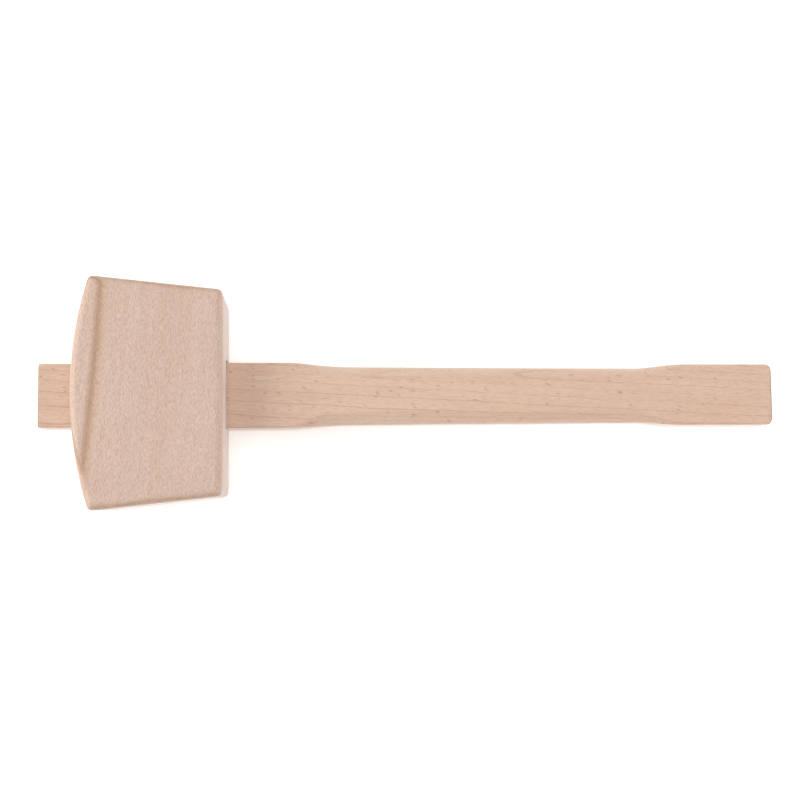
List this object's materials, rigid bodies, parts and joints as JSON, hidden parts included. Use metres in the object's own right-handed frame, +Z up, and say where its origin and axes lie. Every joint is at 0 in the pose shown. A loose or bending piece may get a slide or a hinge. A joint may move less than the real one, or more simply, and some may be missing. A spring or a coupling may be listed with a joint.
{
  "type": "wooden mallet",
  "caption": "Joiner's mallet: tapered solid beech head with a curved crown, driven onto a flat through handle with a rounded grip.",
  "frame": {"origin": "on the head's lower cheek, which is the face it lies on, under the middle of the head", "axes": "+X along the handle towards the butt, +Y along the head from one strike face to the other, +Z up from the lower cheek to the upper cheek"},
  "size_m": [0.3905, 0.1189, 0.06],
  "materials": {
    "beech_head": "sanded, unvarnished",
    "beech_handle": "sanded, unvarnished"
  },
  "bodies": {
    "head": {"head": "beech_head"},
    "handle": {"handle": "beech_handle"}
  },
  "joints": [
    {"name": "handle_slide", "type": "slide", "parent": "head", "child": "handle", "axis": [1, 0, 0], "range_m": [0, 0.105]}
  ]
}
